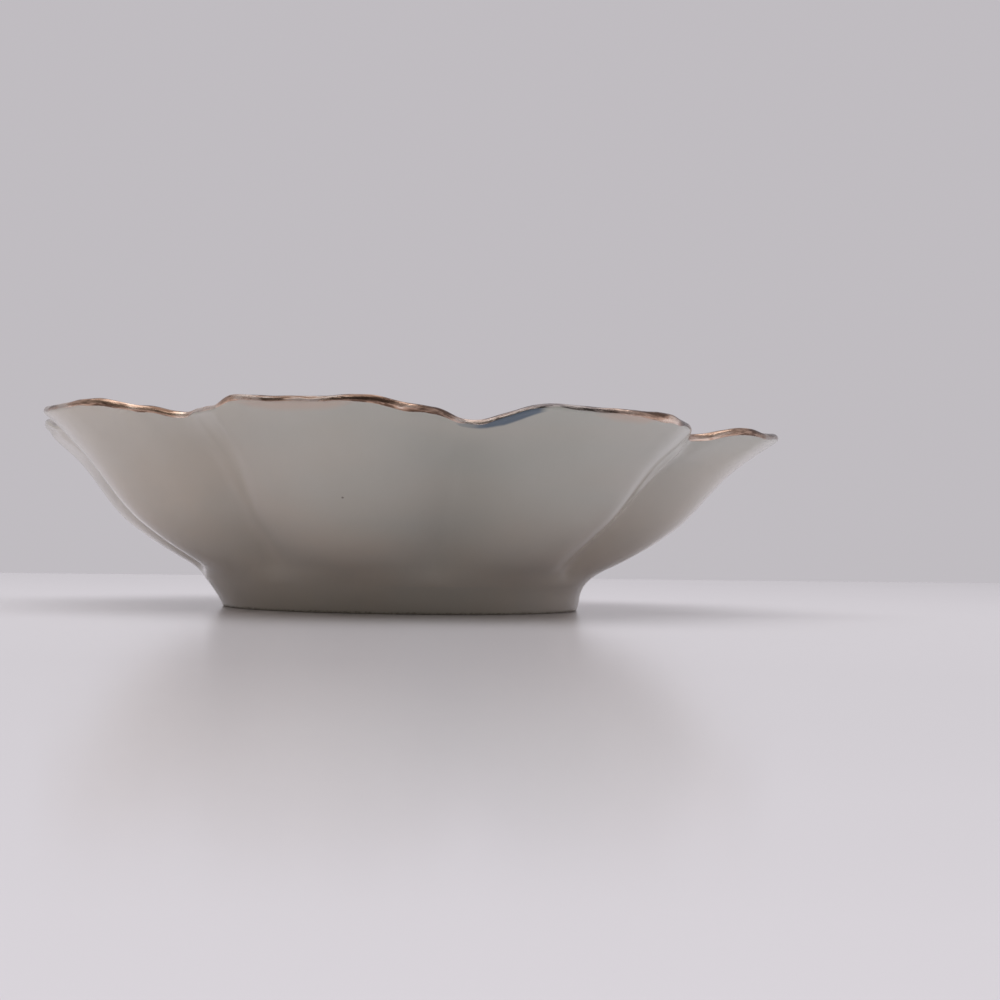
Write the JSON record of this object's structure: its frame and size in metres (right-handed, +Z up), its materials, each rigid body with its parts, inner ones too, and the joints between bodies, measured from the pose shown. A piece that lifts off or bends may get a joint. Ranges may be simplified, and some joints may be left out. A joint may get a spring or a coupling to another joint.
{
  "type": "dish",
  "caption": "Round porcelain dish with a lobed, flaring wall, a low foot ring and a gilded scalloped lip, for holding sweets, keys or small things.",
  "frame": {"origin": "middle of the plane that the foot ring stands on", "axes": "+Z up through the bowl's axis, +X and +Y each through the middle of a lobe"},
  "size_m": [0.201, 0.201, 0.0484],
  "materials": {
    "porcelain": "glossy grey-white glaze with a faint pearl lustre",
    "foot_porcelain": "glossy glaze down to a bare, matt standing edge",
    "gilding": "burnished rose gold, worn thin in places"
  },
  "bodies": {
    "root": {"bowl": "porcelain", "foot_ring": "foot_porcelain", "gilt_rim": "gilding"}
  },
  "joints": []
}
